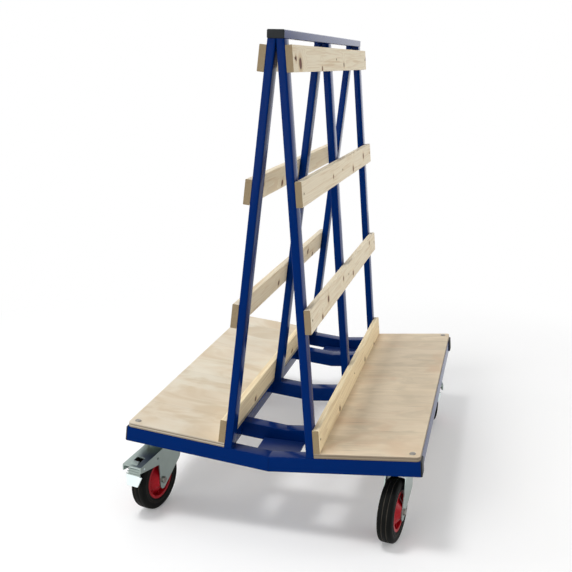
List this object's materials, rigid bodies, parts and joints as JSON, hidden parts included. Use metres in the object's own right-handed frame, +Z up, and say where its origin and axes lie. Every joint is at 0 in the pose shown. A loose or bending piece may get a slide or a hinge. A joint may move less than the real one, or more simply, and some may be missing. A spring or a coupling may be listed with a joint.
{
  "type": "a-frame glass trolley",
  "caption": "Tubular steel A-frame trolley with pine battens, two inward sloping plywood decks and swivel castors, for moving sheets of glass or board.",
  "frame": {"origin": "on the floor, at the middle of the overall box", "axes": "+Z up, Y along the trolley with the front end at -Y, +X to the right deck"},
  "size_m": [0.9552, 1.3592, 1.544],
  "materials": {
    "blue_paint": "glossy powder coat",
    "pine": "planed, unfinished",
    "plywood": "sanded birch face",
    "bright_zinc": "bright zinc plate",
    "tyre_rubber": "matt moulded rubber",
    "red_wheel": "moulded polypropylene",
    "black_cap": "moulded polyethylene",
    "fastener_zinc": "zinc plated"
  },
  "bodies": {
    "frame": {"front_rail_right": "blue_paint", "front_rail_left": "blue_paint", "front_bearer_right": "blue_paint", "front_bearer_left": "blue_paint", "middle_bearer_right": "blue_paint", "middle_bearer_left": "blue_paint", "rear_bearer_right": "blue_paint", "rear_bearer_left": "blue_paint", "rear_rail_right": "blue_paint", "rear_rail_left": "blue_paint", "side_rail_left": "blue_paint", "side_rail_right": "blue_paint", "deck_rail_left": "blue_paint", "deck_rail_right": "blue_paint", "front_leg_right": "blue_paint", "front_leg_left": "blue_paint", "middle_leg_right": "blue_paint", "middle_leg_left": "blue_paint", "rear_leg_right": "blue_paint", "rear_leg_left": "blue_paint", "top_bar": "blue_paint", "top_bar_caps": "black_cap", "rail_end_caps": "black_cap", "front_gusset_plate": "blue_paint", "rear_gusset_plate": "blue_paint", "deck_left": "plywood", "deck_right": "plywood", "deck_bolts": "fastener_zinc", "foot_batten_left": "pine", "foot_batten_right": "pine", "lower_batten_left": "pine", "lower_batten_right": "pine", "upper_batten_left": "pine", "upper_batten_right": "pine", "top_batten_left": "pine", "top_batten_right": "pine", "batten_screws": "fastener_zinc", "castor_seats": "blue_paint", "castor_top_plates": "bright_zinc", "castor_kingpins": "bright_zinc", "castor_bolts": "fastener_zinc", "castor_nuts": "fastener_zinc"},
    "front_left_castor": {"front_left_fork": "bright_zinc", "front_left_axle_bolt": "fastener_zinc"},
    "front_left_wheel": {"front_left_wheel_centre": "red_wheel", "front_left_tyre": "tyre_rubber"},
    "front_left_brake": {"front_left_brake_pedal": "bright_zinc"},
    "front_right_castor": {"front_right_fork": "bright_zinc", "front_right_axle_bolt": "fastener_zinc"},
    "front_right_wheel": {"front_right_wheel_centre": "red_wheel", "front_right_tyre": "tyre_rubber"},
    "rear_left_castor": {"rear_left_fork": "bright_zinc", "rear_left_axle_bolt": "fastener_zinc"},
    "rear_left_wheel": {"rear_left_wheel_centre": "red_wheel", "rear_left_tyre": "tyre_rubber"},
    "rear_right_castor": {"rear_right_fork": "bright_zinc", "rear_right_axle_bolt": "fastener_zinc"},
    "rear_right_wheel": {"rear_right_wheel_centre": "red_wheel", "rear_right_tyre": "tyre_rubber"},
    "rear_right_brake": {"rear_right_brake_pedal": "bright_zinc"}
  },
  "joints": [
    {"name": "front_left_swivel", "type": "hinge", "parent": "frame", "child": "front_left_castor", "pos_m": [-0.396, -0.49045, 0.227], "axis": [0, 0, 1], "continuous": true},
    {"name": "front_left_roll", "type": "hinge", "parent": "front_left_castor", "child": "front_left_wheel", "pos_m": [-0.4095, -0.54891, 0.1025], "axis": [0.9744, -0.225, 0], "continuous": true},
    {"name": "front_left_brake_press", "type": "hinge", "parent": "front_left_castor", "child": "front_left_brake", "pos_m": [-0.43312, -0.65122, 0.184], "axis": [0.9744, -0.225, 0], "range_deg": [0, 15]},
    {"name": "front_right_swivel", "type": "hinge", "parent": "frame", "child": "front_right_castor", "pos_m": [0.396, -0.49045, 0.227], "axis": [0, 0, 1], "continuous": true},
    {"name": "front_right_roll", "type": "hinge", "parent": "front_right_castor", "child": "front_right_wheel", "pos_m": [0.38661, -0.54971, 0.1025], "axis": [0.9877, -0.1564, 0], "continuous": true},
    {"name": "rear_left_swivel", "type": "hinge", "parent": "frame", "child": "rear_left_castor", "pos_m": [-0.396, 0.53955, 0.227], "axis": [0, 0, 1], "continuous": true},
    {"name": "rear_left_roll", "type": "hinge", "parent": "rear_left_castor", "child": "rear_left_wheel", "pos_m": [-0.3825, 0.48109, 0.1025], "axis": [0.9744, 0.225, 0], "continuous": true},
    {"name": "rear_right_swivel", "type": "hinge", "parent": "frame", "child": "rear_right_castor", "pos_m": [0.396, 0.53955, 0.227], "axis": [0, 0, 1], "continuous": true},
    {"name": "rear_right_roll", "type": "hinge", "parent": "rear_right_castor", "child": "rear_right_wheel", "pos_m": [0.4095, 0.48109, 0.1025], "axis": [0.9744, 0.225, 0], "continuous": true},
    {"name": "rear_right_brake_press", "type": "hinge", "parent": "rear_right_castor", "child": "rear_right_brake", "pos_m": [0.43312, 0.37878, 0.184], "axis": [0.9744, 0.225, 0], "range_deg": [0, 15]}
  ]
}
